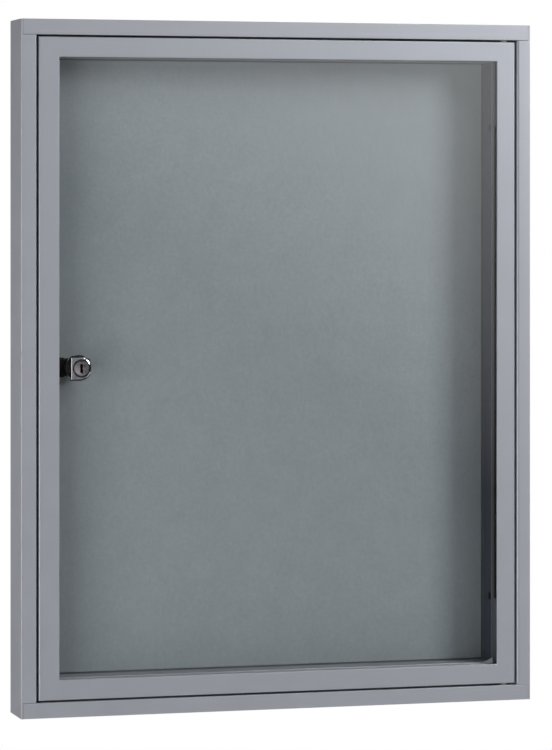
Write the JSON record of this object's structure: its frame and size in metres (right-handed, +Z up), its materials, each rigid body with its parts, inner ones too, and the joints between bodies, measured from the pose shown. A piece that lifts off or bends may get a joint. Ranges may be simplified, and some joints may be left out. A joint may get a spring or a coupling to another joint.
{
  "type": "lockable wall notice board",
  "caption": "Upright wall-mounted notice board: a deep stepped metal casing with a felt pin panel behind a framed glass door that pivots on pins and locks with a keyed slide bolt.",
  "frame": {"origin": "centre of the rear face, on the wall", "axes": "+Z up, +X to the right seen from the front, towards the hinge side, +Y backwards into the wall"},
  "size_m": [0.525, 0.0596, 0.682],
  "materials": {
    "casing_paint": "satin light bluish grey powder coat",
    "door_paint": "satin light bluish grey powder coat",
    "aluminium": "mill finish",
    "zinc_plate": "zinc plated",
    "steel": "bright steel",
    "felt": "mid grey felt",
    "pin_board": "plain soft fibreboard",
    "seal_rubber": "matt black",
    "black_plastic": "matt black",
    "nylon": "natural white nylon",
    "glass": "clear, polished",
    "lock_chrome": "mirror polished chrome"
  },
  "bodies": {
    "casing": {"back_sheet": "aluminium", "back_sheet_screw_bottom_hinge": "steel", "back_sheet_screw_bottom_lock": "steel", "back_sheet_screw_top_hinge": "steel", "back_sheet_screw_top_lock": "steel", "casing_bottom_rail": "casing_paint", "casing_hinge_stile": "casing_paint", "casing_lock_stile": "casing_paint", "casing_top_rail": "casing_paint", "corner_cleat_bottom_hinge": "aluminium", "corner_cleat_bottom_lock": "aluminium", "corner_cleat_top_hinge": "aluminium", "corner_cleat_top_lock": "aluminium", "door_seal_bottom": "seal_rubber", "door_seal_lock_side": "seal_rubber", "door_seal_top": "seal_rubber", "felt_facing": "felt", "hanger_plate_bottom_hinge": "zinc_plate", "hanger_plate_bottom_lock": "zinc_plate", "hanger_plate_top_hinge": "zinc_plate", "hanger_plate_top_lock": "zinc_plate", "hanger_screw_bottom_hinge": "steel", "hanger_screw_bottom_lock": "steel", "hanger_screw_top_hinge": "steel", "hanger_screw_top_lock": "steel", "pin_board": "pin_board", "pivot_bush_bottom": "nylon", "pivot_bush_top": "nylon", "side_plug_lower": "black_plastic", "side_plug_upper": "black_plastic", "strike_plate": "zinc_plate", "strike_screw_lower": "steel", "strike_screw_upper": "steel"},
    "door": {"door_bottom_rail": "door_paint", "door_cleat_bottom_hinge": "aluminium", "door_cleat_bottom_lock": "aluminium", "door_cleat_top_hinge": "aluminium", "door_cleat_top_lock": "aluminium", "door_hinge_stile": "door_paint", "door_lock_stile": "door_paint", "door_top_rail": "door_paint", "glass_pane": "glass", "glazing_bar_bottom": "black_plastic", "glazing_bar_hinge_side": "black_plastic", "glazing_bar_lock_side": "black_plastic", "glazing_bar_top": "black_plastic", "lock_case": "black_plastic", "lock_cover": "black_plastic", "lock_cover_screw_left": "steel", "lock_cover_screw_right": "steel", "lock_housing": "lock_chrome", "lock_nut": "lock_chrome", "lock_washer": "seal_rubber", "pivot_bracket": "door_paint", "pivot_pin_bottom": "steel", "pivot_pin_top": "steel"},
    "plug": {"lock_plug": "lock_chrome", "lock_drive_disc": "steel"},
    "bolt": {"lock_bolt": "steel"}
  },
  "joints": [
    {"name": "door_hinge", "type": "hinge", "parent": "casing", "child": "door", "pos_m": [0.2363, -0.045, 0], "axis": [0, 0, 1], "range_deg": [0, 120]},
    {"name": "key_turn", "type": "hinge", "parent": "door", "child": "plug", "pos_m": [-0.2039, -0.052, 0], "axis": [0, -1, 0], "range_deg": [0, 90]},
    {"name": "bolt_slide", "type": "slide", "parent": "door", "child": "bolt", "axis": [-1, 0, 0], "range_m": [0, 0.0071]}
  ],
  "couplings": [
    {"joint": "bolt_slide", "follows": "key_turn", "m_per_rad": 0.0045016}
  ]
}
